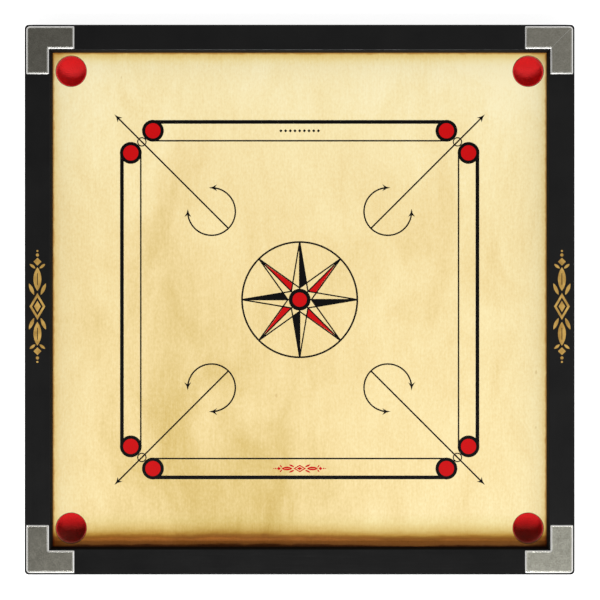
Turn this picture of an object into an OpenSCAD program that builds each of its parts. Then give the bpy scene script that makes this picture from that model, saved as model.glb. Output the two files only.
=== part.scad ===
// Carrom board: a square plywood playing surface let into a mitred hardwood frame, with a red cloth
// pocket at each corner, steel plates on the frame corners, battens underneath and printed markings.
// The origin is at the middle of the underside, where the board lies on a table. +Y is called north
// and +X east. Pieces that come four times are drawn once, for the north side or the north-east
// corner, and turned in steps of 90 degrees.

/* [Playing surface] */
// Width of the playing surface between the rails
play_w = 736.6; // [734:0.1:742]
// Thickness of the plywood
ply_t = 8; // [6:0.5:9]
// How far the plywood reaches under each rail
ply_lap = 12; // [11:0.5:14]
// Gap between the edge of the plywood and the bottom of the rebate
ply_gap = 0.3; // [0.1:0.1:1]

/* [Frame] */
// Width of each rail
rail_w = 38.1; // [36:0.1:50]
// Height of the frame
rail_h = 50.8; // [50:0.1:60]
// Height of the rail tops above the playing surface
rail_rise = 20; // [19:0.1:21]
// Rounding of the top edges of the rails
rail_round = 1.6; // [0.6:0.1:1.8]
// Rounding of the outer corners of the frame, seen from above
corner_round = 7; // [3:0.5:8]

/* [Mitre splines] */
// Thickness of the loose spline across each mitre
spline_t = 3; // [2:0.5:4]
// Length of the spline along the mitre
spline_l = 18; // [12:1:18]
// Width of the spline across the mitre
spline_w = 12; // [8:1:12]
// Height of the middle of the spline above the ground
spline_z = 12; // [8:1:24]

/* [Pockets] */
// Diameter of the pocket holes
pocket_d = 45.4; // [44:0.1:46]
// Distance from each rail to the middle of the pocket hole
pocket_inset = 27.3; // [26:0.1:32]
// Rounding of the upper rim of the pocket holes
rim_round = 0.6; // [0.2:0.1:1]
// Thickness of the cloth of the pocket bags
bag_t = 1; // [0.6:0.1:1.4]
// How far the bag swells out past the edge of the hole
bag_swell = 3; // [1.5:0.5:3.5]
// Radius of the rounded lower side of the bag
bag_r = 16; // [12:0.5:17]
// Radius of the flange that is tacked to the underside of the plywood
flange_r = 35; // [34:0.5:36]
// Height of the bottom of the bags above the ground
bag_z = 0.6; // [0.4:0.1:2]

/* [Corner plates] */
// Length of each leg of an L-shaped corner plate
plate_leg = 70.6; // [66:0.1:80]
// Distance from the outer faces of the frame to the plate
plate_inset = 2.8; // [1.2:0.1:3]
// Thickness of the plate
plate_t = 1.2; // [1:0.1:2]
// Rounding of the outer corner of the plate, seen from above
plate_round = 5; // [2:0.5:7]
// Width of the bevel around the top of the plate
plate_bevel = 1.7; // [0.5:0.1:2.2]
// Height of the upright edge below the bevel
plate_rim = 0.3; // [0.1:0.1:0.7]
// Depth of the crease along the mitre
crease_depth = 0.3; // [0.1:0.1:0.4]

/* [Battens] */
// Width of each batten
batten_w = 30; // [20:1:40]
// Height of each batten
batten_h = 20; // [16:0.5:21]
// Distance from the middle of the board to the middle of each batten
batten_x = 130; // [110:1:140]
// How far the battens are let into the rails
housing = 6; // [3:0.5:8]

/* [Markings] */
// Diameter of the base circles and of the hub
base_d = 32.6; // [30:0.1:32.6]
// Diameter of the red disc in each base circle
base_red_d = 22.8; // [20:0.1:26]
// Distance from the middle of the board to the row of base circles
base_row = 252; // [250:0.5:254]
// Distance from the middle of a row to its two base circles
base_end = 219; // [217:0.5:221]
// Width of the outer base line
thick_line = 5.5; // [3:0.1:6]
// Width of the inner base line, the arcs and the arrow shafts
thin_line = 2.2; // [0.8:0.1:2.2]
// Width of the small circles between the base circles
gap_line = 1.6; // [0.8:0.1:1.6]
// Width of the centre ring
ring_line = 2.6; // [0.8:0.1:2.6]
// Width of the outlines of the star
star_line = 2; // [0.8:0.1:2]
// Radius of the small circle between two base circles
gap_circle_r = 6.2; // [5.8:0.1:6.2]
// Distance from the middle of the board to the middle of each arc, along X and along Y
arc_centre = 131.5; // [128:0.5:134]
// Radius of the arcs
arc_r = 35.5; // [31:0.5:37]
// Distance from the middle of the board to the arrow tips, along X and along Y
arrow_end = 276.5; // [268:0.5:280]
// Length of the arrow heads
arrow_l = 12; // [7:0.1:12]
// Width of the arrow heads
arrow_w = 10; // [6:0.1:10]
// Radius of the centre ring
ring_r = 86; // [84:0.5:87]
// Distance from the middle to the inner corners of the star
star_base_r = 17.5; // [17:0.1:20]
// Diameter of the red disc in the hub
hub_red_d = 21.4; // [18:0.1:24]
// Distance that the rail ornaments stand south of the middle
ornament_shift = 10; // [0:1:30]

/* [Hidden] */
$fn = 96;

// Turns that carry a north piece to each side, and a north-east piece to each corner
NORTH = 0;
WEST = 90;
SOUTH = 180;
EAST = 270;
NE = 0;
NW = 90;
SW = 180;
SE = 270;

// Clearance that cutting shapes reach past the faces they cut
over = 1;
// Thickness of the printed ink and of the gold ornaments
ink_t = 0.1;
// Overlap of the trimmed ends of the base lines with the base circles' tangents
line_set_in = 0.3;

// Heights and half widths
surface_z = rail_h - rail_rise;
ply_z = surface_z - ply_t;
play_half = play_w / 2;
ply_half = play_half + ply_lap;
rebate_half = ply_half + ply_gap;
board_half = play_half + rail_w;
pocket_c = play_half - pocket_inset;
rail_mid = board_half - rail_w / 2;
batten_z = ply_z - batten_h;
batten_half = rebate_half + housing;
spline_c = (rebate_half + board_half) / 2;
// How far the cloth in the hole ends below the playing surface
sleeve_set_in = rim_round + 0.2;

// Screws and tacks
screw_d = 3.5;
screw_head_d = 7;
screw_head_h = 1.9;
screw_tip_l = 3;
screw_tip_d = 0.8;
screw_slot_l = 3.8;
screw_slot_w = 0.9;
screw_slot_depth = 0.9;
panel_screw_l = 20;
panel_screw_c = play_half + ply_lap / 2;
panel_screw_x = [-300, -180, -60, 60, 180, 300];
batten_screw_l = batten_h + 5;
batten_screw_x = [-260, 0, 260];
tack_count = 6;
tack_d = 1.4;
tack_l = 5;
tack_head_d = 5;
tack_head_h = 0.8;
tack_r = 31;

// Corner plates and their studs. The gap is the flat strip of rail left beside the inner rounding.
plate_gap = 0.6;
plate_edge = board_half - plate_inset;
plate_w = rail_w - plate_inset - rail_round - plate_gap;
plate_mid = plate_edge - plate_w / 2;
stud_d = 2;
stud_l = 8;
stud_x = [plate_edge - 27, plate_edge - 60];

// Markings
hub_r = base_d / 2;
star_points = 8;
star_step = 360 / star_points;
star_r = ring_r - ring_line / 2;
arc_point = arc_centre - arc_r / sqrt(2);
gap_c = (base_row + base_end) / 2;
arrow_past = 4;
gold_size = 11.7;
south_size = 5.5;
north_size = 2.4;
north_count = 9;
north_pitch = 7;

// Points of an arc around centre, from angle a to angle b
function arc(centre, radius, a, b, steps = 8) =
    [for (i = [0:steps]) centre + radius * [cos(a + (b - a) * i / steps), sin(a + (b - a) * i / steps)]];

function polar(radius, angle) = radius * [cos(angle), sin(angle)];

// Stands a north rail's or north-east corner's piece on its own side or corner
module turned(angle) {
    rotate([0, 0, angle]) children();
}

// A flat layer of ink on the playing surface
module ink() {
    translate([0, 0, surface_z]) linear_extrude(ink_t) children();
}

// ---------- Frame ----------

// Cross-section of a rail: X runs outwards from the middle of the board and Y is the height
module rail_profile() {
    inner = [play_half + rail_round, rail_h - rail_round];
    outer = [board_half - rail_round, rail_h - rail_round];
    polygon(concat(
        [[board_half, 0]],
        arc(outer, rail_round, 0, 90),
        arc(inner, rail_round, 90, 180),
        [[play_half, surface_z], [rebate_half, surface_z], [rebate_half, 0]]
    ));
}

// Plan of a rail: the wedge between two mitres, with the outer corners of the frame rounded
module rail_plan() {
    c = board_half - corner_round;
    polygon(concat([[0, 0]], arc([c, c], corner_round, 45, 90), arc([-c, c], corner_round, 90, 135)));
}

module spline_shape() {
    translate([spline_c, spline_c, spline_z])
        rotate([0, 0, 45])
            cube([spline_l, spline_w, spline_t], center = true);
}

// Studs of the north-east plate's leg on the north rail
module leg_studs() {
    for (x = stud_x) translate([x, plate_mid, rail_h - stud_l]) cylinder(d = stud_d, h = stud_l);
}

module corner_studs() {
    leg_studs();
    mirror([1, -1, 0]) leg_studs();
}

module rail(angle) {
    color("#212121") turned(angle) difference() {
        intersection() {
            rotate([90, 0, 90]) linear_extrude(2 * board_half, center = true) rail_profile();
            linear_extrude(rail_h) rail_plan();
        }
        for (side = [-1, 1])
            translate([side * batten_x - batten_w / 2, rebate_half - over, batten_z])
                cube([batten_w, housing + over, batten_h]);
        for (corner = [NE, NW]) turned(corner) {
            spline_shape();
            corner_studs();
        }
        for (x = panel_screw_x) translate([x, panel_screw_c, ply_z]) screw_shape(panel_screw_l);
    }
}

module mitre_spline(angle) {
    color("burlywood") turned(angle) spline_shape();
}

// ---------- Playing surface and battens ----------

// The outside of a countersunk screw that points up, its head's face at height 0
module screw_shape(length) {
    cylinder(h = screw_head_h, d1 = screw_head_d, d2 = screw_d);
    cylinder(h = length - screw_tip_l, d = screw_d);
    translate([0, 0, length - screw_tip_l]) cylinder(h = screw_tip_l, d1 = screw_d, d2 = screw_tip_d);
}

module screw(length) {
    difference() {
        screw_shape(length);
        for (turn = [45, 135])
            rotate([0, 0, turn]) cube([screw_slot_l, screw_slot_w, 2 * screw_slot_depth], center = true);
    }
}

// The corner that is taken off around the upper rim of a pocket hole, X being the radius
module rim_cut() {
    r = pocket_d / 2;
    polygon(concat(
        [[r - over, surface_z + over], [r - over, surface_z - rim_round]],
        arc([r + rim_round, surface_z - rim_round], rim_round, 180, 90),
        [[r + rim_round, surface_z + over]]
    ));
}

module playing_surface() {
    color("#f0dca4") difference() {
        translate([-ply_half, -ply_half, ply_z]) cube([2 * ply_half, 2 * ply_half, ply_t]);
        for (corner = [NE, NW, SW, SE]) turned(corner) {
            translate([pocket_c, pocket_c, ply_z - over]) cylinder(d = pocket_d, h = ply_t + 2 * over);
            translate([pocket_c, pocket_c, 0]) rotate_extrude() rim_cut();
            tack_pins();
        }
        for (side = [NORTH, WEST, SOUTH, EAST]) turned(side)
            for (x = panel_screw_x) translate([x, panel_screw_c, ply_z]) screw_shape(panel_screw_l);
        batten_screw_places() screw_shape(batten_screw_l);
    }
}

// Stands a screw at each place along one batten that runs along X
module along_batten() {
    for (x = batten_screw_x) translate([x, batten_x, batten_z]) children();
}

module batten_screw_places() {
    for (side = [NORTH, WEST, SOUTH, EAST]) turned(side) along_batten() children();
}

// A batten along X on the north side. Its halving joints are cut from the top or from below.
module batten(angle, cut_z) {
    color("#d9b885") turned(angle) difference() {
        translate([-batten_half, batten_x - batten_w / 2, batten_z])
            cube([2 * batten_half, batten_w, batten_h]);
        for (side = [-1, 1])
            translate([side * batten_x - batten_w / 2, batten_x - batten_w / 2 - over, cut_z])
                cube([batten_w, batten_w + 2 * over, batten_h / 2 + over]);
        along_batten() screw_shape(batten_screw_l);
    }
}

module batten_under(angle) {
    batten(angle, batten_z + batten_h / 2);
}

module batten_over(angle) {
    batten(angle, batten_z - over);
}

// ---------- Pockets ----------

// Section of a pocket bag, X being the radius: a sleeve that lines the hole, a flange under the
// plywood and a round-bottomed bag below it
module bag_profile() {
    r_hole = pocket_d / 2;
    r_bag = r_hole + bag_swell;
    sleeve_z = surface_z - sleeve_set_in;
    low = [r_bag - bag_r, bag_z + bag_r];
    polygon(concat(
        [[0, bag_z]],
        arc(low, bag_r, 270, 360, 12),
        [[r_bag, ply_z - bag_t], [flange_r, ply_z - bag_t], [flange_r, ply_z], [r_hole, ply_z]],
        [[r_hole, sleeve_z], [r_hole - bag_t, sleeve_z], [r_hole - bag_t, ply_z - bag_t]],
        [[r_bag - bag_t, ply_z - 2 * bag_t]],
        arc(low, bag_r - bag_t, 360, 270, 12),
        [[0, bag_z + bag_t]]
    ));
}

module pocket_bag(angle) {
    color("#b81418") turned(angle) difference() {
        translate([pocket_c, pocket_c, 0]) rotate_extrude() bag_profile();
        tack_pins();
    }
}

// Stands a child at each tack of the north-east pocket, at the underside of the bag's flange
module tack_places() {
    for (i = [0:tack_count - 1])
        translate([pocket_c, pocket_c, ply_z - bag_t])
            rotate([0, 0, 45 + 360 * (i + 0.5) / tack_count])
                translate([tack_r, 0, 0]) children();
}

module tack_pins() {
    tack_places() cylinder(d = tack_d, h = tack_l);
}

module pocket_tacks(angle) {
    color("#8a8a88") turned(angle) tack_places() {
        cylinder(d = tack_d, h = tack_l);
        translate([0, 0, -tack_head_h]) cylinder(d1 = tack_head_d - 1, d2 = tack_head_d, h = tack_head_h);
    }
}

module panel_screws(angle) {
    color("#c9b36a") turned(angle)
        for (x = panel_screw_x) translate([x, panel_screw_c, ply_z]) screw(panel_screw_l);
}

module batten_screws() {
    color("#c9b36a") batten_screw_places() screw(batten_screw_l);
}

// ---------- Corner plates ----------

// Outline of the leg along X, drawn in from its edges by inset, with its outer corner rounded
module leg_outline(inset) {
    low = [plate_edge - plate_leg, plate_edge - plate_w];
    c = plate_edge - plate_round;
    polygon(concat(
        [[low.x + inset, low.y + inset], [plate_edge - inset, low.y + inset]],
        arc([c, c], plate_round - inset, 0, 90),
        [[low.x + inset, plate_edge - inset]]
    ));
}

// One leg of the plate, along X, with a bevel all round its top
module plate_leg_shape() {
    translate([0, 0, rail_h]) hull() {
        linear_extrude(plate_rim) leg_outline(0);
        linear_extrude(plate_t) leg_outline(plate_bevel);
    }
}

module corner_plate(angle) {
    color("#8e8e88") turned(angle) {
        difference() {
            union() {
                plate_leg_shape();
                mirror([1, -1, 0]) plate_leg_shape();
            }
            translate([plate_edge, plate_edge, rail_h + plate_t])
                rotate([0, 0, 45])
                    rotate([45, 0, 0])
                        cube([4 * plate_w, crease_depth * sqrt(2), crease_depth * sqrt(2)], center = true);
        }
        corner_studs();
    }
}

// ---------- Printed markings ----------

module ring(radius, line) {
    difference() {
        circle(radius + line / 2);
        circle(radius - line / 2);
    }
}

module at_base_circles() {
    for (side = [NORTH, WEST, SOUTH, EAST], end = [-1, 1])
        turned(side) translate([end * base_end, base_row, 0]) children();
}

module print_base_lines() {
    outer_y = base_row + hub_r - line_set_in - thick_line;
    inner_y = base_row - hub_r + line_set_in;
    color("#050505") difference() {
        for (side = [NORTH, WEST, SOUTH, EAST]) turned(side) ink() {
            translate([-base_end, outer_y]) square([2 * base_end, thick_line]);
            translate([-base_end, inner_y]) square([2 * base_end, thin_line]);
        }
        at_base_circles() translate([0, 0, surface_z - over]) cylinder(r = hub_r, h = 2 * over);
    }
}

module print_base_circles() {
    line = (base_d - base_red_d) / 2;
    color("#050505") at_base_circles() ink() ring(hub_r - line / 2, line);
}

module print_base_discs() {
    color("#cc181c") at_base_circles() ink() circle(d = base_red_d);
}

// An arrow head that points along X, its tip at the origin
module arrow_head() {
    waist = [-0.5 * arrow_l, 0.15 * arrow_w];
    barb = [-arrow_l, 0.5 * arrow_w];
    notch = [-0.74 * arrow_l, 0];
    polygon([[0, 0], waist, barb, notch, [barb.x, -barb.y], [waist.x, -waist.y]]);
}

// Three quarters of a ring around the arc's centre, open towards the corner
module open_arc() {
    polygon(concat(
        arc([0, 0], arc_r + thin_line / 2, 90, 360, 72),
        arc([0, 0], arc_r - thin_line / 2, 360, 90, 72)
    ));
}

module print_arrows() {
    color("#050505") for (corner = [NE, NW, SW, SE]) turned(corner) ink() {
        // The shaft starts on the arc and ends inside the head
        rotate(45)
            translate([arc_point * sqrt(2), -thin_line / 2])
                square([(arrow_end - arc_point) * sqrt(2) - 0.7 * arrow_l, thin_line]);
        translate([arrow_end, arrow_end]) rotate(45) arrow_head();
        translate([gap_c, gap_c]) ring(gap_circle_r, gap_line);
        translate([arc_centre, arc_centre]) {
            open_arc();
            translate([arrow_past, arc_r]) arrow_head();
            translate([arc_r, arrow_past]) rotate(90) arrow_head();
        }
    }
}

module print_centre_ring() {
    color("#050505") ink() ring(ring_r, ring_line);
}

// Where the straight lines through a and b and through c and d cross
function crossing(a, b, c, d) =
    a + (b - a) * cross(c - a, d - c) / cross(b - a, d - c);

// A triangle drawn in by d from each of its sides
function drawn_in(t, d) =
    let(
        sides = [norm(t[2] - t[1]), norm(t[0] - t[2]), norm(t[1] - t[0])],
        around = sides[0] + sides[1] + sides[2],
        middle = (sides[0] * t[0] + sides[1] * t[1] + sides[2] * t[2]) / around,
        inner_r = abs(cross(t[1] - t[0], t[2] - t[0])) / around
    )
    [for (p = t) middle + (p - middle) * (1 - d / inner_r)];

// Direction of star point i. Point 0 is the north one and they count clockwise.
function star_angle(i) = 90 - i * star_step;

// The clockwise half of star point i that is filled with colour: it ends at the side of point i + 1
function star_half(i) =
    let(
        tip = polar(star_r, star_angle(i)),
        foot = polar(star_base_r, star_angle(i)),
        next_tip = polar(star_r, star_angle(i + 1)),
        next_foot = polar(star_base_r, star_angle(i + 1))
    )
    [tip, crossing(tip, next_foot, next_tip, foot), foot];

// A straight line of ink from p to q
module stroke(p, q) {
    d = q - p;
    translate(p) rotate(atan2(d.y, d.x)) translate([0, -star_line / 2]) square([norm(d), star_line]);
}

// The two sides and the axis of every star point
module star_lines() {
    intersection() {
        for (i = [0:star_points - 1]) {
            tip = polar(star_r + star_line, star_angle(i));
            stroke(tip, polar(star_base_r, star_angle(i - 1)));
            stroke(tip, polar(star_base_r, star_angle(i + 1)));
            stroke(tip, polar(hub_r / 2, star_angle(i)));
        }
        difference() {
            circle(star_r);
            circle(hub_r);
        }
    }
}

module print_star_black() {
    // The lines and the fills are joined as solids, so that the ink is one layer with no seams in it
    color("#050505") {
        ink() star_lines();
        ink() for (i = [0:2:star_points - 1]) polygon(star_half(i));
    }
}

module print_star_red() {
    color("#cc181c") ink()
        for (i = [1:2:star_points - 1]) polygon(drawn_in(star_half(i), star_line / 2));
}

module print_hub_ring() {
    line = hub_r - hub_red_d / 2;
    color("#050505") ink() ring(hub_r - line / 2, line);
}

module print_hub_disc() {
    color("#cc181c") ink() circle(d = hub_red_d);
}

// ---------- Ornaments ----------

module lozenge(half_l, half_w) {
    polygon([[-half_l, 0], [0, half_w], [half_l, 0], [0, -half_w]]);
}

// A pointed leaf along X from 0 to length
module leaf(length, half_w) {
    radius = (pow(length / 2, 2) + pow(half_w, 2)) / (2 * half_w);
    intersection() {
        translate([length / 2, half_w - radius]) circle(radius);
        translate([length / 2, radius - half_w]) circle(radius);
    }
}

// A leaf with a slit along its middle
module slit_leaf(length, half_w) {
    difference() {
        leaf(length, half_w);
        translate([length / 4, -half_w / 10]) square([length / 2, half_w / 5]);
    }
}

// A pierced lozenge between two leaves, two small lozenges and four dots, with petals beside them.
// All its lengths are in sizes.
module ornament(size) {
    scale(size) {
        difference() {
            lozenge(1.7, 1);
            lozenge(1.15, 0.68);
        }
        lozenge(0.72, 0.42);
        for (side = [0, 180]) rotate(side) {
            translate([1.95, 0]) slit_leaf(3, 0.5);
            translate([5.65, 0]) lozenge(0.5, 0.5);
            translate([6.5, 0]) circle(0.2);
            translate([7, 0]) circle(0.13);
            for (up = [-1, 1]) {
                translate([1.45, 0.42 * up]) rotate(24 * up) leaf(1.6, 0.22);
                translate([4.8, 0.26 * up]) rotate(52 * up) leaf(0.9, 0.17);
            }
        }
    }
}

module print_north_mark() {
    color("#050505") ink() translate([0, base_row])
        for (i = [0:north_count - 1])
            translate([(i - (north_count - 1) / 2) * north_pitch, 0]) lozenge(north_size, north_size);
}

module print_south_mark() {
    color("#cc181c") ink() translate([0, -base_row]) ornament(south_size);
}

module rail_ornament(side) {
    color("#caa55a") translate([side * rail_mid, -ornament_shift, rail_h])
        linear_extrude(ink_t) rotate(90) ornament(gold_size);
}

playing_surface();
rail(NORTH);  // rail_north
rail(WEST);  // rail_west
rail(SOUTH);  // rail_south
rail(EAST);  // rail_east
mitre_spline(NE);  // mitre_spline_ne
mitre_spline(NW);  // mitre_spline_nw
mitre_spline(SW);  // mitre_spline_sw
mitre_spline(SE);  // mitre_spline_se
corner_plate(NE);  // corner_plate_ne
corner_plate(NW);  // corner_plate_nw
corner_plate(SW);  // corner_plate_sw
corner_plate(SE);  // corner_plate_se
batten_under(NORTH);  // batten_north
batten_under(SOUTH);  // batten_south
batten_over(WEST);  // cross_batten_west
batten_over(EAST);  // cross_batten_east
pocket_bag(NE);  // pocket_bag_ne
pocket_bag(NW);  // pocket_bag_nw
pocket_bag(SW);  // pocket_bag_sw
pocket_bag(SE);  // pocket_bag_se
pocket_tacks(NE);  // pocket_tacks_ne
pocket_tacks(NW);  // pocket_tacks_nw
pocket_tacks(SW);  // pocket_tacks_sw
pocket_tacks(SE);  // pocket_tacks_se
panel_screws(NORTH);  // panel_screws_north
panel_screws(WEST);  // panel_screws_west
panel_screws(SOUTH);  // panel_screws_south
panel_screws(EAST);  // panel_screws_east
batten_screws();
print_base_lines();
print_base_circles();
print_base_discs();
print_arrows();
print_centre_ring();
print_star_black();
print_star_red();
print_hub_ring();
print_hub_disc();
print_north_mark();
print_south_mark();
rail_ornament(-1);  // ornament_west
rail_ornament(1);  // ornament_east
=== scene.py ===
"""The looks of a carrom board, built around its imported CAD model.

The CAD nodes keep their shapes and get procedural materials. The cloth pocket bags and the steel
corner plates are meshes made here, because cloth folds and rolled steel edges are finer than the
CAD shapes. Lengths are metres in the frame of the CAD model: +Y is north, +X is east and +Z is up.
"""

import math

import bmesh
import bpy
from mathutils import Matrix, Vector, noise


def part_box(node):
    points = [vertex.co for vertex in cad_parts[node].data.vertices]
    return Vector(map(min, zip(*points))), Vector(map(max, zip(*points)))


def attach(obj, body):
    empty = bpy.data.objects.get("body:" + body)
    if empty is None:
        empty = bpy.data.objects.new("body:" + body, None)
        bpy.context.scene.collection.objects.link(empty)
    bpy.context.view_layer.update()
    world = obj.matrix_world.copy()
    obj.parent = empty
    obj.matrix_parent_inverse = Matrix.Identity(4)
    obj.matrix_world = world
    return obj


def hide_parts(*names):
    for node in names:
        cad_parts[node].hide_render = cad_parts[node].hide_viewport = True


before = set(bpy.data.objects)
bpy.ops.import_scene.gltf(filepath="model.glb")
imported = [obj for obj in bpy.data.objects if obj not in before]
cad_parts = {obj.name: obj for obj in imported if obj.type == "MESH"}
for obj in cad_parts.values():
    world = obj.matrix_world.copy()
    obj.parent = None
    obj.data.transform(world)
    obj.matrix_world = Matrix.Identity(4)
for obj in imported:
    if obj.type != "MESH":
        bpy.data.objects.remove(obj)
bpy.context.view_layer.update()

MM = 0.001
CORNERS = {"ne": (1, 1), "nw": (-1, 1), "sw": (-1, -1), "se": (1, -1)}
SIDES = ("north", "west", "south", "east")

# ---------- Places, from the frame ----------

SURFACE_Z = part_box("playing_surface")[1].z
PLY_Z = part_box("playing_surface")[0].z
PLAY_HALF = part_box("rail_north")[0].y
RAIL_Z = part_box("rail_north")[1].z
BAG_LOW, BAG_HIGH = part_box("pocket_bag_ne")
POCKET_C = (BAG_LOW.x + BAG_HIGH.x) / 2
FLANGE_R = (BAG_HIGH.x - BAG_LOW.x) / 2
PLATE_LOW, PLATE_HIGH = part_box("corner_plate_ne")
STEEL_TOP = PLATE_HIGH.z

# Sizes that the frame's boxes don't give: they repeat the CAD model's
HOLE_R = 22.7 * MM
RIM_ROUND = 0.6 * MM
RAIL_ROUND = 1.6 * MM
PLATE_GAP = 0.6 * MM


# ---------- Materials ----------


class Tree:
    """Short calls that add nodes to a node tree."""

    def __init__(self, owner):
        owner.use_nodes = True
        self.tree = owner.node_tree
        self.coords = self.tree.nodes.new("ShaderNodeTexCoord")

    def feed(self, socket, value):
        """Links value into socket if it is a socket too, and else stores it there."""
        if isinstance(value, bpy.types.NodeSocket):
            self.tree.links.new(value, socket)
        else:
            socket.default_value = value

    def add(self, kind, settings, inputs):
        """A new shader node, with its properties set and its inputs fed."""
        node = self.tree.nodes.new("ShaderNode" + kind)
        for name, value in settings.items():
            setattr(node, name, value)
        for name, value in inputs.items():
            self.feed(node.inputs[name], value)
        return node

    def place(self, stretch=(1, 1, 1), turn=0):
        """Object coordinates, turned about Z by turn degrees and then scaled by stretch."""
        turned = self.add(
            "VectorRotate",
            {"rotation_type": "Z_AXIS"},
            {"Vector": self.coords.outputs["Object"], "Angle": math.radians(turn)},
        )
        inputs = {0: turned.outputs[0], 1: stretch}
        return self.add("VectorMath", {"operation": "MULTIPLY"}, inputs).outputs[0]

    def axes(self, vector=None):
        """The X, Y and Z of a vector, or of the object coordinates."""
        split = self.add("SeparateXYZ", {}, {0: vector or self.coords.outputs["Object"]})
        return split.outputs[:]

    def sums(self, operation, a, b=0.0, c=0.0):
        """The result of a Math node."""
        return self.add("Math", {"operation": operation}, {0: a, 1: b, 2: c}).outputs[0]

    def weigh(self, start, *terms):
        """The sum of start and of each (value, weight) in terms."""
        for value, weight in terms:
            start = self.sums("MULTIPLY_ADD", value, weight, start)
        return start

    def drift(self, value, width):
        """Noise of 0 to 1, moved and scaled to lie within this width about 0."""
        return self.sums("MULTIPLY_ADD", value, width, -width / 2)

    def measure(self, operation, a, b):
        """The number that a vector operation makes of two vectors."""
        return self.add("VectorMath", {"operation": operation}, {0: a, 1: b}).outputs["Value"]

    def span(self, value, low, high, to_low=0.0, to_high=1.0):
        """Value mapped smoothly from low..high to to_low..to_high, and held at the ends."""
        inputs = {"Value": value, "From Min": low, "From Max": high}
        inputs.update({"To Min": to_low, "To Max": to_high})
        return self.add("MapRange", {"interpolation_type": "SMOOTHSTEP"}, inputs).outputs[0]

    def noise(self, vector, scale, detail=3.0, roughness=0.5, distortion=0.0):
        inputs = {"Vector": vector, "Scale": scale, "Detail": detail}
        inputs.update({"Roughness": roughness, "Distortion": distortion})
        return self.add("TexNoise", {}, inputs).outputs[0]

    def cells(self, vector, scale):
        """A cell texture's outputs: how far a cell's middle is, and a colour for each cell."""
        outputs = self.add("TexVoronoi", {}, {"Vector": vector, "Scale": scale}).outputs
        return outputs["Distance"], outputs["Color"]

    def ramp(self, value, *stops):
        """A colour for value: each stop is a place from 0 to 1 and a colour."""
        node = self.add("ValToRGB", {}, {"Fac": value})
        elements = node.color_ramp.elements
        while len(elements) < len(stops):
            elements.new(0.5)
        for element, (place, colour) in zip(elements, stops):
            element.position = place
            element.color = (*colour, 1)
        return node.outputs[0]

    def mix(self, share, a, b, blend="MIX"):
        node = self.add("Mix", {"data_type": "RGBA", "blend_type": blend}, {0: share})
        for index, value in ((6, a), (7, b)):
            colour = isinstance(value, tuple)
            self.feed(node.inputs[index], (*value, 1) if colour else value)
        return node.outputs[2]

    def bump(self, height, distance, strength=1.0, below=None):
        """A bump of this height in metres, on top of the bump below it."""
        inputs = {"Height": height, "Distance": distance, "Strength": strength}
        if below is not None:
            inputs["Normal"] = below
        return self.add("Bump", {}, inputs).outputs[0]


class Shader(Tree):
    """The node tree of one Principled material."""

    def __init__(self, name):
        self.material = bpy.data.materials.new(name)
        super().__init__(self.material)
        self.principled = self.tree.nodes["Principled BSDF"]
        self.geometry = self.tree.nodes.new("ShaderNodeNewGeometry")

    def finish(self, **sockets):
        """Sets the shader's own sockets, named with _ for a space, and returns the material."""
        for name, value in sockets.items():
            socket = self.principled.inputs[name.replace("_", " ")]
            if isinstance(value, tuple) and len(value) == 3 and socket.type == "RGBA":
                value = (*value, 1)
            self.feed(socket, value)
        return self.material


# Patches of the veneer, warm below 0 and pale above: middle, reach east and north, and how much
VENEER_PATCHES = (
    (-0.12, -0.32, 0.22, 0.24, -0.36),
    (-0.19, -0.04, 0.09, 0.30, -0.28),
    (0.22, 0.08, 0.14, 0.18, -0.18),
    (0.14, -0.14, 0.08, 0.08, 0.08),
    (0.02, -0.30, 0.14, 0.10, -0.12),
    (0.00, 0.30, 0.24, 0.10, 0.10),
)
VENEERS = 7

# Painted shadow of the south rail, as a brown tint at distances from that rail, given as shares of
# the reach on the next line; a few millimetres from the rail it is lighter again, where the lamp's
# own shadow falls
SOUTH_SHADOW_REACH = 50 * MM
PAINTED_SOUTH_SHADOW = (
    (0.0, (0.16, 0.065, 0.045)),
    (0.03, (0.24, 0.10, 0.06)),
    (0.08, (0.82, 0.37, 0.16)),
    (0.14, (0.88, 0.38, 0.14)),
    (0.20, (0.68, 0.29, 0.068)),
    (0.26, (0.38, 0.165, 0.025)),
    (0.32, (0.38, 0.205, 0.038)),
    (0.38, (0.57, 0.40, 0.14)),
    (0.50, (0.785, 0.70, 0.455)),
    (0.62, (0.88, 0.83, 0.65)),
    (0.73, (0.94, 0.935, 0.84)),
    (1.0, (1, 1, 1)),
)


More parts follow.
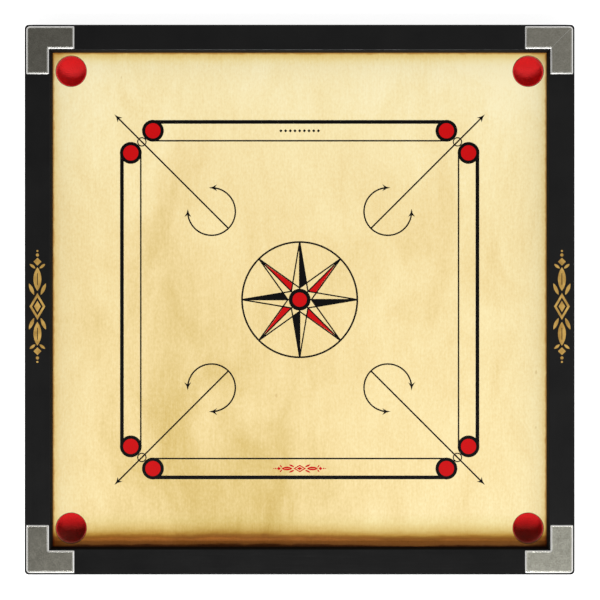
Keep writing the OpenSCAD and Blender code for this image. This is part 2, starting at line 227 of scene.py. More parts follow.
def veneer_with_painted_light(s, clouds, streaks, fibres):
    """Lacquered birch in warm patches, painted paler to the north as painted light against the
    lamp's falloff from the south, and also paler to the east and away from the middle.
    """
    x, y, _ = s.axes()
    squares = [s.sums("MULTIPLY", axis, axis) for axis in (x, y)]
    # Painted light: paler to the north, to even out the lamp's falloff from the south
    pale = s.weigh(-0.10, (y, 0.48), (x, 0.25), (squares[0], 1.3), (squares[1], 1.6))
    for east, north, wide, tall, amount in VENEER_PATCHES:
        middle = (east / wide, north / tall, SURFACE_Z)
        away = s.measure("DISTANCE", s.place((1 / wide, 1 / tall, 1)), middle)
        ragged = s.weigh(away, (clouds, 0.9))
        pale = s.weigh(pale, (s.span(ragged, 1.45, 0.45), amount))
    mottle = s.noise(s.place((1, 0.6, 1)), 330, 3, 0.6)
    grain = ((streaks, 0.20), (clouds, 0.75), (mottle, 0.60), (fibres, 0.34))
    tone = s.weigh(-0.40, *grain, (pale, 1.0))
    wood = s.ramp(
        s.weigh(0.23, (tone, 0.77)),
        (0.0, (0.50, 0.350, 0.098)),
        (0.23, (0.590, 0.440, 0.162)),
        (0.577, (0.725, 0.575, 0.283)),
        (0.808, (0.785, 0.665, 0.368)),
        (1.0, (0.825, 0.735, 0.462)),
    )
    # Short dark pores along the grain, and a brown fleck in one of five cells
    pores = s.span(s.noise(s.place((1, 0.09, 1)), 620, 2, 0.5), 0.67, 0.80, 0, 0.22)
    wood = s.mix(pores, wood, (0.42, 0.27, 0.09))
    distance, colour = s.cells(s.place((1, 0.55, 1)), 34)
    fleck = s.span(distance, 0.030, 0.075, 0.34, 0)
    chosen = s.sums("GREATER_THAN", s.axes(colour)[0], 0.80)
    return s.mix(s.sums("MULTIPLY", fleck, chosen), wood, (0.40, 0.24, 0.07))


def painted_rail_shade(s, wood):
    """Painted shade along the rails and in the corners, deepest along the south rail, whose shadow
    is painted in brown.
    """
    x, y, _ = s.axes()
    wobble = s.drift(s.noise(s.place(), 60, 3), 4 * MM)
    ragged = s.drift(s.noise(s.place((1, 0.5, 1)), 26, 4, 0.6), 26 * MM)
    wander = s.drift(s.noise(s.place(), 7, 2), 9 * MM)
    smeared = s.drift(s.noise(s.place((0.30, 1, 1)), 150, 4, 0.65), 5 * MM)
    # Distances from the rails, made uneven
    side = s.sums("SUBTRACT", PLAY_HALF, s.sums("ABSOLUTE", x))
    end = s.sums("SUBTRACT", PLAY_HALF, s.sums("ABSOLUTE", y))
    north = s.sums("SUBTRACT", PLAY_HALF, y)
    edge = s.sums("ADD", s.sums("MINIMUM", side, north), wobble)
    corner = s.sums("ADD", s.sums("ADD", side, end), ragged)
    south = s.sums("ADD", s.sums("ADD", PLAY_HALF, y), s.sums("ADD", smeared, wander))
    # Each painted shade is full at its first distance and gone at its second
    rail_shades = (
        (edge, 0.0, 14 * MM, 0.42, (0.84, 0.64, 0.16)),
        (s.sums("ADD", north, wobble), 2 * MM, 24 * MM, 0.60, (0.95, 0.84, 0.46)),
        (corner, 4 * MM, 40 * MM, 0.62, (0.72, 0.50, 0.22)),
        (edge, 0.4 * MM, 3.4 * MM, 0.85, (0.52, 0.30, 0.10)),
    )
    for distance, full, gone, share, tint in rail_shades:
        wood = s.mix(s.span(distance, full, gone, share, 0), wood, tint, "MULTIPLY")
    # The painted shadow of the south rail
    south_shadow = s.ramp(s.sums("MULTIPLY", south, 1 / SOUTH_SHADOW_REACH), *PAINTED_SOUTH_SHADOW)
    return s.mix(1.0, wood, south_shadow, "MULTIPLY")


def birch_ply():
    """Birch plywood with its grain along Y: a lacquered face, bare edges and a rough back."""
    s = Shader("birch_ply")
    x, y, z = s.axes()
    clouds = s.noise(s.place((1, 0.55, 1)), 13, 5, 0.6, 0.8)
    streaks = s.noise(s.place((1, 0.09, 1)), 60, 4, 0.65)
    fibres = s.noise(s.place((1, 0.05, 1)), 420, 4, 0.65)
    # The veneer carries painted light, and the rails' painted shade goes over it
    wood = painted_rail_shade(s, veneer_with_painted_light(s, clouds, streaks, fibres))
    # The rims of the pocket holes are painted dark: painted shade at the holes' edges
    folded = s.add("CombineXYZ", {}, {0: s.sums("ABSOLUTE", x), 1: s.sums("ABSOLUTE", y)})
    from_pocket = s.measure("DISTANCE", folded.outputs[0], (POCKET_C, POCKET_C, 0))
    painted_rim_shade = s.span(from_pocket, HOLE_R + 0.8 * RIM_ROUND, HOLE_R + 1.5 * RIM_ROUND, 1, 0)
    wood = s.mix(painted_rim_shade, wood, (0.035, 0.008, 0.004))
    # The veneers show as pairs of a pale and a dark layer on the sheet's edges and in its holes
    facing_up = s.sums("ABSOLUTE", s.axes(s.geometry.outputs["True Normal"])[2])
    upright = s.span(facing_up, 0.3, 0.6, 1, 0)
    pair = (SURFACE_Z - PLY_Z) / (VENEERS / 2)
    layers = s.ramp(
        s.sums("FRACT", s.sums("DIVIDE", s.sums("SUBTRACT", z, PLY_Z), pair)),
        (0.40, (0.58, 0.41, 0.20)),
        (0.47, (0.20, 0.11, 0.05)),
        (0.53, (0.33, 0.20, 0.09)),
        (1.0, (0.40, 0.25, 0.12)),
    )
    wood = s.mix(upright, wood, layers)
    # The underside is a rougher, unvarnished back veneer
    back = s.ramp(
        s.weigh(0.0, (clouds, 0.5), (streaks, 0.7)),
        (0.3, (0.36, 0.24, 0.12)),
        (0.9, (0.60, 0.45, 0.26)),
    )
    under = s.span(z, PLY_Z + 0.2 * MM, PLY_Z + 0.6 * MM, 1, 0)
    wood = s.mix(under, wood, back)
    rough = s.weigh(0.24, (streaks, 0.14), (under, 0.3))
    normal = s.bump(fibres, 0.05 * MM, 0.35)
    normal = s.bump(s.noise(s.place((1, 0.4, 1)), 14, 2), 1.2 * MM, 0.12, normal)
    return s.finish(Base_Color=wood, Roughness=rough, Normal=normal, Specular_IOR_Level=0.10)


def black_lacquer(name, along_x, gloss):
    """Satin black lacquer over hardwood, whose grain still shows faintly along the rail."""
    s = Shader(name)
    stretch = (0.035, 1, 1) if along_x else (1, 0.035, 1)
    x, y, z = s.axes()
    across, along = s.sums("ABSOLUTE", x), s.sums("ABSOLUTE", y)
    grain = s.noise(s.place(stretch), 420, 4, 0.62)
    cloud = s.noise(s.place(), 16, 3, 0.6)
    dust = s.noise(s.place(), 1400, 2, 0.6)
    colour = s.ramp(cloud, (0.25, (0.0070, 0.0070, 0.0071)), (0.75, (0.0096, 0.0095, 0.0094)))
    colour = s.mix(s.span(dust, 0.66, 0.80, 0, 0.25), colour, (0.022, 0.021, 0.020))
    # The mitre joints show as hairlines across the corners
    from_mitre = s.sums("ABSOLUTE", s.sums("SUBTRACT", across, along))
    line = s.span(from_mitre, 0.08 * MM, 0.32 * MM, 1, 0)
    colour = s.mix(line, colour, (0.0015, 0.0014, 0.0013))
    # The inner faces are rubbed dull and painted darker as painted shade, and a brown painted
    # reflection of the plywood climbs their foot
    inside = s.sums("LESS_THAN", s.sums("MAXIMUM", across, along), PLAY_HALF + RAIL_ROUND / 3)
    painted_reflection_band = s.span(z, SURFACE_Z + 0.5 * MM, SURFACE_Z + 7 * MM, 0.8, 0)
    colour = s.mix(inside, colour, (0.0035, 0.0032, 0.0030))
    colour = s.mix(s.sums("MULTIPLY", inside, painted_reflection_band), colour, (0.034, 0.012, 0.0035))
    rough = s.weigh(0.075, (cloud, 0.08), (grain, 0.16), (inside, 0.80))
    # The rounded edges are worn dull
    arris = s.span(s.axes(s.geometry.outputs["Normal"])[2], 0.75, 0.98, 0.4, 0)
    rough = s.sums("MAXIMUM", rough, arris)
    normal = s.bump(s.weigh(grain, (line, -1.5)), 0.16 * MM, 0.6)
    normal = s.bump(s.noise(s.place(), 240, 2), 0.08 * MM, 0.4, normal)
    return s.finish(Base_Color=colour, Roughness=rough, Normal=normal, Specular_IOR_Level=gloss)


def brushed_steel(name, tone, bright, warmth):
    """Worn steel, mottled and brushed along a diagonal, with its rolled edges painted bright as a
    painted highlight.
    """
    s = Shader(name)
    brush = s.noise(s.place((0.05, 1, 1), 45), 1500, 3, 0.6)
    cross = s.noise(s.place((1, 0.06, 1), 45), 900, 2, 0.6)
    mottle = s.noise(s.place(), 95, 5, 0.65)
    specks = s.noise(s.place(), 700, 3, 0.7)
    level = s.weigh(-0.37, (specks, 1.2), (mottle, 0.55), (cross, 0.2), (brush, 0.35))
    low = (tone * 0.70, tone * 0.68 * warmth, tone * 0.55 * warmth)
    high = (tone * 1.28, tone * 1.25 * warmth, tone * 1.06 * warmth)
    colour = s.ramp(level, (0.42, low), (1.05, high))
    _, facing_north, facing_up = s.axes(s.geometry.outputs["Normal"])
    # Painted highlight: the rolled edges get the bright edge colour
    rolled = s.span(facing_up, 0.93, 0.985, 1, 0)
    colour = s.mix(rolled, colour, (bright, bright * 0.99, bright * 0.96))
    # The northern plates' edges that face the key light, in the south, are painted dark, as painted
    # shade over their highlight
    painted_edge_shade = s.span(facing_north, -0.32, -0.12, 0.68, 0)
    painted_edge_shade = s.sums("MULTIPLY", painted_edge_shade, s.sums("GREATER_THAN", s.axes()[1], 0))
    colour = s.mix(painted_edge_shade, colour, (0.10, 0.10, 0.095))
    rough = s.weigh(0.095, (brush, 0.06), (mottle, 0.05), (rolled, 0.25))
    normal = s.bump(s.weigh(brush, (cross, 0.5)), 0.02 * MM, 0.25)
    return s.finish(Base_Color=colour, Metallic=1.0, Roughness=rough, Normal=normal)


def red_cloth():
    """Woven cotton. The UV map holds each point's place on the cloth in metres."""
    s = Shader("red_cloth")
    weave_pitch = 1.1 * MM
    waves = 2 * math.pi / weave_pitch
    u, v, _ = s.axes(s.coords.outputs["UV"])
    warp = s.sums("SINE", s.sums("MULTIPLY", u, waves))
    weft = s.sums("SINE", s.sums("MULTIPLY", v, waves))
    weave = s.sums("MULTIPLY_ADD", s.sums("MULTIPLY", warp, weft), 0.5, 0.5)
    fuzz = s.noise(s.place(), 900, 4, 0.7)
    fade = s.noise(s.place(), 55, 3, 0.6)
    colour = s.ramp(
        s.weigh(0.0, (fuzz, 0.3), (fade, 0.45), (weave, 0.35)),
        (0.2, (0.47, 0.0075, 0.0085)),
        (0.9, (0.65, 0.0130, 0.0145)),
    )
    # Painted light and shade: the northern pockets are painted brighter towards their south, where
    # their rim shades them, and the southern ones painted darker towards the south, as the shade of
    # their rail
    north = s.axes()[1]
    painted_light_share = s.span(north, POCKET_C + 20 * MM, POCKET_C - 14 * MM, 0, 0.95)
    painted_light_share = s.sums("MULTIPLY", painted_light_share, s.sums("GREATER_THAN", north, 0))
    painted_shade_share = s.span(north, -POCKET_C + 4 * MM, -POCKET_C - 22 * MM, 0, 0.72)
    colour = s.mix(painted_light_share, colour, (0.98, 0.045, 0.049))
    colour = s.mix(painted_shade_share, colour, (0.27, 0.110, 0.072))
    normal = s.bump(weave, 0.22 * MM, 0.6)
    normal = s.bump(fuzz, 0.15 * MM, 0.5, normal)
    return s.finish(
        Base_Color=colour,
        Roughness=0.92,
        Normal=normal,
        Specular_IOR_Level=0.15,
        Sheen_Weight=0.12,
        Sheen_Roughness=0.5,
        Sheen_Tint=(1.0, 0.25, 0.25),
    )


def pine(name, along_x):
    """Planed pine: pale early wood and brown late wood along the piece."""
    s = Shader(name)
    stretch = (0.045, 1, 1) if along_x else (1, 0.045, 1)
    bend = s.noise(s.place(stretch), 26, 3, 0.5)
    rings = s.sums("FRACT", s.sums("MULTIPLY", bend, 7.0))
    late = s.sums("MULTIPLY", s.span(rings, 0.35, 0.92), s.span(rings, 1.0, 0.94))
    fibre = s.noise(s.place(stretch), 800, 3, 0.6)
    colour = s.mix(s.sums("MULTIPLY", late, 0.75), (0.66, 0.46, 0.24), (0.36, 0.18, 0.07))
    colour = s.mix(s.span(fibre, 0.35, 0.75, 0, 0.35), colour, (0.50, 0.31, 0.14))
    rough = s.weigh(0.5, (fibre, 0.2))
    normal = s.bump(s.weigh(fibre, (late, 0.6)), 0.12 * MM, 0.4)
    return s.finish(Base_Color=colour, Roughness=rough, Normal=normal)


def screen_ink(name, dark, light):
    """Screen-printed ink under the surface's varnish, a little uneven where the screen pressed."""
    s = Shader(name)
    cover = s.noise(s.place(), 700, 4, 0.7)
    fade = s.noise(s.place(), 30, 2)
    level = s.weigh(0.0, (fade, 0.4), (cover, 0.7))
    return s.finish(
        Base_Color=s.ramp(level, (0.3, dark), (0.85, light)),
        Roughness=s.weigh(0.36, (cover, 0.2)),
        Normal=s.bump(cover, 0.03 * MM, 0.3),
        Specular_IOR_Level=0.05,
    )


def gold_film():
    """Hot-stamped gold film, satin, with small breaks where it didn't take."""
    s = Shader("gold_film")
    cover = s.noise(s.place(), 1100, 4, 0.7)
    cloud = s.noise(s.place(), 95, 3)
    colour = s.ramp(
        s.weigh(0.0, (cover, 0.3), (cloud, 0.7)),
        (0.36, (0.35, 0.190, 0.032)),
        (0.64, (0.62, 0.385, 0.095)),
    )
    colour = s.mix(s.span(cover, 0.66, 0.74, 0, 0.7), colour, (0.10, 0.07, 0.03))
    return s.finish(
        Base_Color=colour,
        Metallic=0.45,
        Roughness=s.weigh(0.30, (cover, 0.2)),
        Normal=s.bump(cover, 0.04 * MM, 0.4),
    )


def plated_steel(name, dark, light):
    """Zinc-plated steel of the screws and tacks, cloudy and slightly tarnished."""
    s = Shader(name)
    cloud = s.noise(s.place(), 450, 4, 0.65)
    fine = s.noise(s.place(), 2600, 2, 0.5)
    return s.finish(
        Base_Color=s.ramp(cloud, (0.3, dark), (0.7, light)),
        Metallic=1.0,
        Roughness=s.weigh(0.22, (cloud, 0.25)),
        Normal=s.bump(fine, 0.03 * MM, 0.4),
    )


def paint(material, *nodes):
    """Gives CAD nodes a material in every slot."""
    for name in nodes:
        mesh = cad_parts[name].data
        mesh.materials.clear()
        mesh.materials.append(material)
        mesh.polygons.foreach_set("material_index", [0] * len(mesh.polygons))


def of_corners(stem):
    """The names of a node that is there once for each corner."""
    return [f"{stem}_{corner}" for corner in CORNERS]


paint(birch_ply(), "playing_surface")
paint(black_lacquer("black_lacquer_north", along_x=True, gloss=0.15), "rail_north")
paint(black_lacquer("black_lacquer_south", along_x=True, gloss=0.06), "rail_south")
paint(black_lacquer("black_lacquer_side", along_x=False, gloss=0.15), "rail_west", "rail_east")
paint(
    pine("pine_x", along_x=True),
    "batten_north",
    "batten_south",
    *of_corners("mitre_spline"),
)
paint(pine("pine_y", along_x=False), "cross_batten_west", "cross_batten_east")
paint(
    plated_steel("screw_steel", dark=(0.42, 0.33, 0.16), light=(0.66, 0.56, 0.32)),
    "batten_screws",
    *[f"panel_screws_{side}" for side in SIDES],
)
paint(
    plated_steel("tack_steel", dark=(0.34, 0.34, 0.33), light=(0.58, 0.58, 0.57)),
    *of_corners("pocket_tacks"),
)
paint(
    screen_ink("black_ink", dark=(0.0010, 0.0010, 0.0011), light=(0.0042, 0.0040, 0.0038)),
    "print_base_lines",
    "print_base_circles",
    "print_arrows",
    "print_centre_ring",
    "print_star_black",
    "print_hub_ring",
    "print_north_mark",
)
paint(
    screen_ink("red_ink", dark=(0.44, 0.0028, 0.0038), light=(0.54, 0.0042, 0.0055)),
    "print_base_discs",
    "print_star_red",
    "print_hub_disc",
    "print_south_mark",
)
paint(gold_film(), "ornament_west", "ornament_east")


# ---------- Meshes ----------


def piece(name, mesh, material, slot, *replaced):
    """Makes a mesh into a piece that rides on the board and stands for CAD nodes."""
    mesh.materials.append(material)
    made = bpy.data.objects.new(name, mesh)
    bpy.context.scene.collection.objects.link(made)
    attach(made, "root")
    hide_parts(*replaced)
    return made


def smooth(mesh, angle):
    """Smooth shading, with edges sharper than angle degrees kept crisp."""
    mesh.polygons.foreach_set("use_smooth", [True] * len(mesh.polygons))
    mesh.set_sharp_from_angle(angle=math.radians(angle))


def to_mesh(name, build, angle):
    """Turns a closed bmesh into a smooth-shaded mesh."""
    bmesh.ops.recalc_face_normals(build, faces=build.faces)
    mesh = bpy.data.meshes.new(name)
    build.to_mesh(mesh)
    build.free()
    smooth(mesh, angle)
    return mesh


def bridge(build, rings):
    """Joins rings of equally many vertices with quads, and returns the faces."""
    faces = []
    for low, high in zip(rings, rings[1:]):
        for i in range(len(low)):
            j = (i + 1) % len(low)
            faces.append(build.faces.new((low[i], low[j], high[j], high[i])))
    return faces


def turn_by(i, count):
    """The angle of step i when count steps make a whole turn."""
    return 2 * math.pi * i / count


def polar(centre, radius, angle, z):
    """The point at this radius and angle about a centre, at height z."""
    return (centre.x + radius * math.cos(angle), centre.y + radius * math.sin(angle), z)


def closed_noise(angle, reach, height):
    """Smooth noise from -1 to 1 that comes back to its start after a whole turn."""
    return noise.noise(Vector((math.cos(angle) * reach, math.sin(angle) * reach, height)))


# ---------- Pocket bags ----------

CLOTH = red_cloth()
CLOTH_T = 0.9 * MM
# The middle of the cloth: in the hole, at the widest part of the bag, at its floor and at its hem
SLEEVE_R = HOLE_R - 0.55 * MM
BAG_R = HOLE_R + 2.2 * MM
BELLY_Z = 15.5 * MM
BAG_FLOOR = BAG_LOW.z + 0.9 * MM
HEM_Z = BAG_HIGH.z - 0.7 * MM
# Columns of vertices round the bag, and the gathers and tacks round it
AROUND = 240
PLEATS = 15
TACKS = 6


def eased(t):
    """0 to 1 with a soft start and end."""
    t = min(max(t, 0.0), 1.0)
    return t * t * (3 - 2 * t)


def bag_profile():
    """The middle of the cloth from the hem down to the middle of the floor, as (radius, height)."""
    sleeve_steps, neck_steps, bowl_steps = 10, 10, 36
    neck_z = PLY_Z - 1.2 * MM
    # Powers below 1 make the bowl fuller than a quarter of an ellipse
    fuller_out, fuller_down = 0.62, 0.80
    points = []
    for i in range(sleeve_steps + 1):
        points.append((SLEEVE_R, HEM_Z - i * (HEM_Z - neck_z) / sleeve_steps))
    for i in range(1, neck_steps + 1):
        t = i / neck_steps
        radius = SLEEVE_R + (BAG_R - SLEEVE_R) * eased(t)
        points.append((radius, neck_z + (BELLY_Z - neck_z) * t))
    for i in range(1, bowl_steps + 1):
        turn = math.pi / 2 * i / bowl_steps
        reach = math.cos(turn) ** fuller_out
        drop = math.sin(turn) ** fuller_down
        points.append((BAG_R * reach, BELLY_Z - (BELLY_Z - BAG_FLOOR) * drop))
    return points


def pleat(angle, phase):
    """Height of the gathers at an angle: narrow valleys between wide soft ridges, all uneven."""
    wander, wander_reach = 2.4, 1.7
    size, size_change, size_reach = 0.7, 0.5, 2.6
    valley_power = 2.2
    shift = wander * closed_noise(angle, wander_reach, phase)
    wave = math.sin(PLEATS / 2 * angle + shift + phase)
    height = size + size_change * closed_noise(angle, size_reach, phase + 7)
    return height * (1 - 2 * (1 - abs(wave)) ** valley_power)


def cloth_lump(angle, radius, height, phase):
    """Smooth noise from -1 to 1 at a place on the bag."""
    lumps_per_metre = 90
    place = Vector((math.cos(angle) * radius, math.sin(angle) * radius, height))
    return noise.noise(place * lumps_per_metre + Vector((phase, 0, 0)))


def bag_mesh(name, centre, phase):
    """A round cloth bag: a sleeve in the hole, then a gathered bowl that sags onto its floor."""
    gathers_start, gathers_grow = 8 * MM, 14 * MM
    sleeve_slack, bowl_slack, lump_size = 0.16 * MM, 0.50 * MM, 0.35 * MM
    calm_middle = 9 * MM
    floor_share, out_share = 0.9, 0.4
    build = bmesh.new()
    uv = build.loops.layers.uv.new("cloth")
    profile = bag_profile()
    length = [0.0]
    for (r0, z0), (r1, z1) in zip(profile, profile[1:]):
        length.append(length[-1] + math.hypot(r1 - r0, z1 - z0))
    rings = []
    for (radius, height), run in zip(profile[:-1], length):
        gathered = eased((run - gathers_start) / gathers_grow)
        slack = sleeve_slack + bowl_slack * gathered
        outer = eased(radius / BAG_R)
        ring = []
        for i in range(AROUND):
            angle = turn_by(i, AROUND)
            fold = slack * pleat(angle, phase) * min(radius / calm_middle, 1.0)
            fold += lump_size * cloth_lump(angle, radius, height, phase) * gathered
            # A fold moves the wall outwards and the floor upwards
            r = radius + fold * (out_share + (1 - out_share) * outer)
            z = height + fold * (1 - outer) * floor_share * gathered
            z = max(z, BAG_FLOOR - 0.2 * MM)
            ring.append(build.verts.new(polar(centre, r, angle, z)))
        rings.append(ring)
    faces = bridge(build, rings)
    tip = build.verts.new((centre.x, centre.y, BAG_FLOOR + 0.5 * MM))
    last = rings[-1]
    for i in range(AROUND):
        faces.append(build.faces.new((last[i], last[(i + 1) % AROUND], tip)))
    # The cloth's weave runs round the sleeve and down the profile
    girth = 2 * math.pi * HOLE_R
    for number, face in enumerate(faces):
        row, column = divmod(number, AROUND)
        left, right = girth * column / AROUND, girth * (column + 1) / AROUND
        top, bottom = length[row], length[min(row + 1, len(length) - 1)]
        places = [(left, top), (right, top), (right, bottom), (left, bottom)]
        if len(face.verts) == 3:
            places[2:] = [((left + right) / 2, bottom)]
        for loop, place in zip(face.loops, places):
            loop[uv].uv = place
    mesh = bpy.data.meshes.new(name)
    build.to_mesh(mesh)
    build.free()
    smooth(mesh, angle=60)
    return mesh


def flange_mesh(name, centre, phase):
    """The cloth ring that is tacked under the plywood, puckered between its tacks."""
    build = bmesh.new()
    uv = build.loops.layers.uv.new("cloth")
    top = PLY_Z - 0.05 * MM
    inner, outer = HOLE_R - 0.2 * MM, FLANGE_R - 0.7 * MM
    pucker_drop, fray_out, fray_reach = 0.45 * MM, 0.9 * MM, 5
    steps = 14
    shares = [k / steps for k in range(steps + 1)]
    # Out along the upper face, and back in along the lower one
    section = [(share, 0) for share in shares] + [(share, 1) for share in reversed(shares)]
    rings = []
    for share, lower in section:
        thick = CLOTH_T if 0 < share < 1 else CLOTH_T * 0.5
        ring = []
        for i in range(AROUND):
            angle = turn_by(i, AROUND)
            pucker = 0.5 + 0.5 * math.cos(TACKS * angle)
            fray = share * closed_noise(angle, fray_reach, phase) * fray_out
            r = inner + (outer - inner) * share + fray
            z = top - share * share * pucker * pucker_drop - lower * thick
            ring.append(build.verts.new(polar(centre, r, angle, z)))
        rings.append(ring)
    for face in bridge(build, rings + [rings[0]]):
        for loop in face.loops:
            loop[uv].uv = (loop.vert.co.x, loop.vert.co.y)
    return to_mesh(name, build, angle=50)


def hem_mesh(name, centre):
    """The rolled hem round the mouth of the bag, as a fine corded ring."""
    build = bmesh.new()
    uv = build.loops.layers.uv.new("cloth")
    radius, thick = HOLE_R - 0.62 * MM, 0.55 * MM
    across, cords, cord_share = 10, 40, 0.10
    rings = []
    for i in range(AROUND):
        angle = turn_by(i, AROUND)
        reach = thick * (1 + cord_share * math.sin(cords * angle))
        ring = []
        for k in range(across):
            side = turn_by(k, across)
            z = HEM_Z + reach * math.sin(side)
            ring.append(build.verts.new(polar(centre, radius + reach * math.cos(side), angle, z)))
        rings.append(ring)
    for face in bridge(build, rings + [rings[0]]):
        for loop in face.loops:
            loop[uv].uv = (loop.vert.co.x + loop.vert.co.z, loop.vert.co.y)
    return to_mesh(name, build, angle=80)


def stitch_mesh(name, centre):
    """A running stitch of thread below the hem, inside the sleeve."""
    build = bmesh.new()
    count, long, thick = 44, 1.9 * MM, 0.26 * MM
    radius = SLEEVE_R - CLOTH_T / 2
    z = HEM_Z - 1.7 * MM
    for i in range(count):
        angle = turn_by(i, count)
        spot = Matrix.Translation(polar(centre, radius, angle, z))
        shape = Matrix.Diagonal((thick, long / 2, thick, 1))
        shape = spot @ Matrix.Rotation(angle, 4, "Z") @ shape
        bmesh.ops.create_uvsphere(build, u_segments=8, v_segments=6, radius=1, matrix=shape)
    return to_mesh(name, build, angle=80)


def thread():
    """Waxed sewing thread, a darker red than the cloth."""
    s = Shader("red_thread")
    twist = s.noise(s.place((1, 1, 0.3)), 1800, 2)
    colour = s.ramp(twist, (0.3, (0.20, 0.004, 0.005)), (0.7, (0.38, 0.008, 0.010)))
    return s.finish(Base_Color=colour, Roughness=0.6, Normal=s.bump(twist, 0.1 * MM, 0.5))


def make_pocket(corner, phase):
    """Makes the four pieces that stand for one of the CAD's pocket bags."""
    node = f"pocket_bag_{corner}"
    low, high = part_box(node)
    centre = (low + high) / 2
    name = f"bag_{corner}"
    bag = piece(name, bag_mesh(name, centre, phase), CLOTH, "red_cloth", node)
    shell = bag.modifiers.new("cloth_thickness", "SOLIDIFY")
    shell.thickness = CLOTH_T
    shell.offset = 0
    name = f"bag_flange_{corner}"
    piece(name, flange_mesh(name, centre, phase), CLOTH, "red_cloth", node)
    name = f"bag_hem_{corner}"
    piece(name, hem_mesh(name, centre), CLOTH, "red_cloth", node)
    name = f"bag_stitches_{corner}"
    piece(name, stitch_mesh(name, centre), THREAD, "red_cloth", node)


THREAD = thread()
# Each bag reads its folds from a place of its own in the noise
FIRST_PHASE, PHASE_STEP = 1.7, 4.1
for number, corner in enumerate(CORNERS):
    make_pocket(corner, FIRST_PHASE + PHASE_STEP * number)


# ---------- Corner plates ----------

PLATE_LEG = PLATE_HIGH.x - PLATE_LOW.x
PLATE_W = PLATE_HIGH.x - PLAY_HALF - RAIL_ROUND - PLATE_GAP
OUTER_ROUND = 5 * MM
END_ROUND = 0.9 * MM
INNER_ROUND = 0.2 * MM
# Section of the plate's edge from its foot to the flat top, in millimetres: the distance in from
# the edge, and the height
EDGE = [
    (0.00, 0.00),
    (0.00, 0.20),
    (0.06, 0.32),
    (0.38, 0.52),
    (0.78, 0.76),
    (1.18, 1.00),
    (1.45, 1.13),
    (1.65, 1.18),
    (1.90, 1.13),
    (2.10, 0.98),
    (2.35, 0.91),
    (2.60, 0.96),
    (2.85, 1.04),
    (3.30, 1.06),
]


def corner_points(corner, into, out, radius, steps=6):
    """Points of a rounded corner between the unit directions into it and out of it."""
    start = corner - into * radius
    turn = 1 if into.x * out.y - into.y * out.x > 0 else -1
    side = Vector((-into.y, into.x)) * turn
    pivot = start + side * radius
    first = math.atan2(-side.y, -side.x)
    points = []
    for i in range(steps + 1):
        angle = first + turn * math.pi / 2 * i / steps
        points.append(pivot + Vector((math.cos(angle), math.sin(angle))) * radius)
    return points


def plate_outline(inset):
    """The L of the north-east plate, drawn in by inset, counter-clockwise from its outer corner."""
    edge, leg, wide = PLATE_HIGH.x - inset, PLATE_LEG - 2 * inset, PLATE_W - 2 * inset
    inner = edge - wide
    far = edge - leg
    least_outer, least_end = 0.5 * MM, 0.12 * MM
    outer_round = max(OUTER_ROUND - inset, least_outer)
    end_round = max(END_ROUND - inset, least_end)
    corners = [
        (Vector((edge, edge)), outer_round),
        (Vector((far, edge)), end_round),
        (Vector((far, inner)), end_round),
        (Vector((inner, inner)), INNER_ROUND + inset),
        (Vector((inner, far)), end_round),
        (Vector((edge, far)), end_round),
    ]
    points = []
    for i, (corner, radius) in enumerate(corners):
        into = (corner - corners[i - 1][0]).normalized()
        out = (corners[(i + 1) % len(corners)][0] - corner).normalized()
        points += corner_points(corner, into, out, radius)
    return points


def plate_mesh(name, east, north, crease):
    """A pressed steel L with a rolled edge, a fine groove inside it and a crease on the mitre."""
    build = bmesh.new()
    rings = []
    for inset, height in EDGE:
        z = RAIL_Z + height * MM
        rings.append([build.verts.new((p.x, p.y, z)) for p in plate_outline(inset * MM)])
    bridge(build, rings)
    build.faces.new(rings[0])
    build.faces.new(rings[-1])
    # The crease is a shallow V: its foldline is lowered between two cuts beside it
    half_crease, flat_z = 0.40 * MM, RAIL_Z + 1.0 * MM
    cut_reach, mitre_reach = 1e-7, 1e-6
    for shift in (-half_crease, 0.0, half_crease):
        faces = [f for f in build.faces if all(v.co.z > flat_z for v in f.verts)]
        edges = list({e for f in faces for e in f.edges})
        verts = list({v for f in faces for v in f.verts})
        bmesh.ops.bisect_plane(
            build,
            geom=faces + edges + verts,
            plane_co=(shift, 0, 0),
            plane_no=Vector((1, -1, 0)).normalized(),
            dist=cut_reach,
        )
    for v in build.verts:
        if v.co.z > flat_z and abs(v.co.x - v.co.y) < mitre_reach:
            v.co.z -= crease
    flip = Matrix.Diagonal((east, north, 1, 1))
    bmesh.ops.transform(build, matrix=flip, verts=build.verts)
    mesh = to_mesh(name, build, angle=24)
    # The top is shaded flat, so that the crease stays crisp
    level_cosine = 0.95
    for face in mesh.polygons:
        face.use_smooth = abs(face.normal.z) < level_cosine
    return mesh


# Painted light: each plate gets its own tone, edge tone and warmth, as lit and shaded copies of one
# steel; and its own crease's depth
PLATE_LIGHT_TONES = {
    "ne": (0.60, 0.90, 0.985, 0.090 * MM),
    "nw": (0.59, 0.88, 0.985, 0.0),
    "sw": (0.45, 0.96, 0.99, 0.0),
    "se": (0.65, 0.97, 1.01, 0.0),
}
for corner, (east, north) in CORNERS.items():
    tone, bright, warmth, crease = PLATE_LIGHT_TONES[corner]
    steel = brushed_steel(f"corner_steel_{corner}", tone, bright, warmth)
    name = f"steel_corner_{corner}"
    plate = plate_mesh(name, east, north, crease)
    piece(name, plate, steel, "corner_steel", f"corner_plate_{corner}")


# ---------- Floor, light and camera ----------


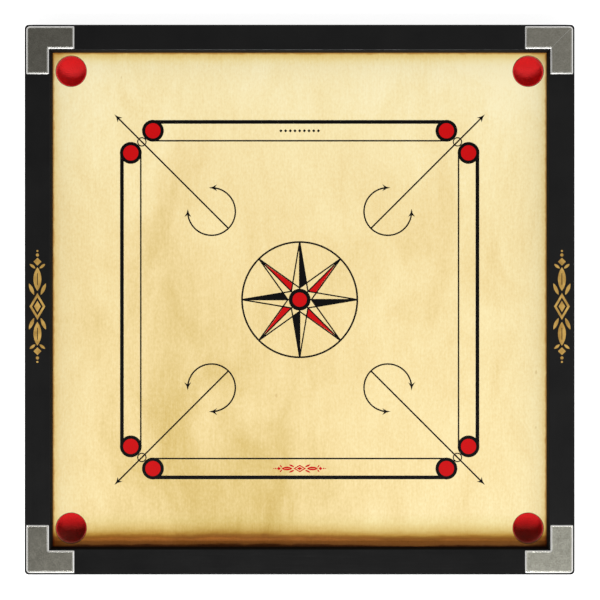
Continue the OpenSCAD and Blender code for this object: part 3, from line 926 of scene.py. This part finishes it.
def make_floor():
    """A white paper floor at z = 0, which glows a little to stay white."""
    s = Shader("floor")
    paper = s.noise(s.place(), 3, 2)
    material = s.finish(
        Base_Color=s.ramp(paper, (0.0, (0.52, 0.52, 0.52)), (1.0, (0.55, 0.55, 0.55))),
        Roughness=0.9,
        Emission_Color=(1, 1, 1),
        Emission_Strength=0.81,
    )
    reach = 14
    corners = [(reach * x, reach * y, 0) for x, y in ((-1, -1), (1, -1), (1, 1), (-1, 1))]
    mesh = bpy.data.meshes.new("floor")
    mesh.from_pydata(corners, [], [(0, 1, 2, 3)])
    mesh.materials.append(material)
    floor = bpy.data.objects.new("floor", mesh)
    bpy.context.scene.collection.objects.link(floor)


def make_sky():
    """A pale studio: bright walls, and a dimmer ceiling that is brighter to the south-east."""
    world = bpy.data.worlds.new("studio")
    s = Tree(world)
    direction = s.coords.outputs["Generated"]
    walls, ceiling, slope = 0.95, 0.26, 1.35
    overhead = s.span(s.axes(direction)[2], 0.32, 0.80)
    lean = s.measure("DOT_PRODUCT", direction, (slope, -slope, 0))
    above = s.sums("MAXIMUM", s.weigh(ceiling, (lean, ceiling)), ceiling / 4)
    level = s.sums("MULTIPLY_ADD", overhead, s.sums("SUBTRACT", above, walls), walls)
    background = s.tree.nodes["Background"].inputs
    s.feed(background["Strength"], level)
    background["Color"].default_value = (1, 1, 1, 1)
    bpy.context.scene.world = world


def make_softbox(name, azimuth, elevation, distance, size, watts):
    """A square softbox that looks at the middle of the board, azimuth degrees east of north."""
    data = bpy.data.lights.new(name, "AREA")
    data.shape = "SQUARE"
    data.size = size
    data.energy = watts
    box = bpy.data.objects.new(name, data)
    a, e = math.radians(azimuth), math.radians(elevation)
    away = Vector((math.sin(a) * math.cos(e), math.cos(a) * math.cos(e), math.sin(e)))
    box.location = away * distance
    box.rotation_euler = away.to_track_quat("Z", "Y").to_euler()
    bpy.context.scene.collection.objects.link(box)


def make_camera():
    """A camera almost above the middle of the board, looking straight down."""
    data = bpy.data.cameras.new("camera")
    above_rails = 1.93
    width_at_rails = 0.8857
    aside = 0.5 * MM
    data.sensor_width = 36
    data.lens = data.sensor_width * above_rails / width_at_rails
    data.clip_start, data.clip_end = 0.05, 60
    camera = bpy.data.objects.new("camera", data)
    camera.location = (aside, -aside, STEEL_TOP + above_rails)
    bpy.context.scene.collection.objects.link(camera)
    bpy.context.scene.camera = camera


make_floor()
make_sky()
make_softbox("key", azimuth=180, elevation=56, distance=6.0, size=1.9, watts=339)
make_camera()
bpy.context.scene.view_settings.view_transform = "Standard"
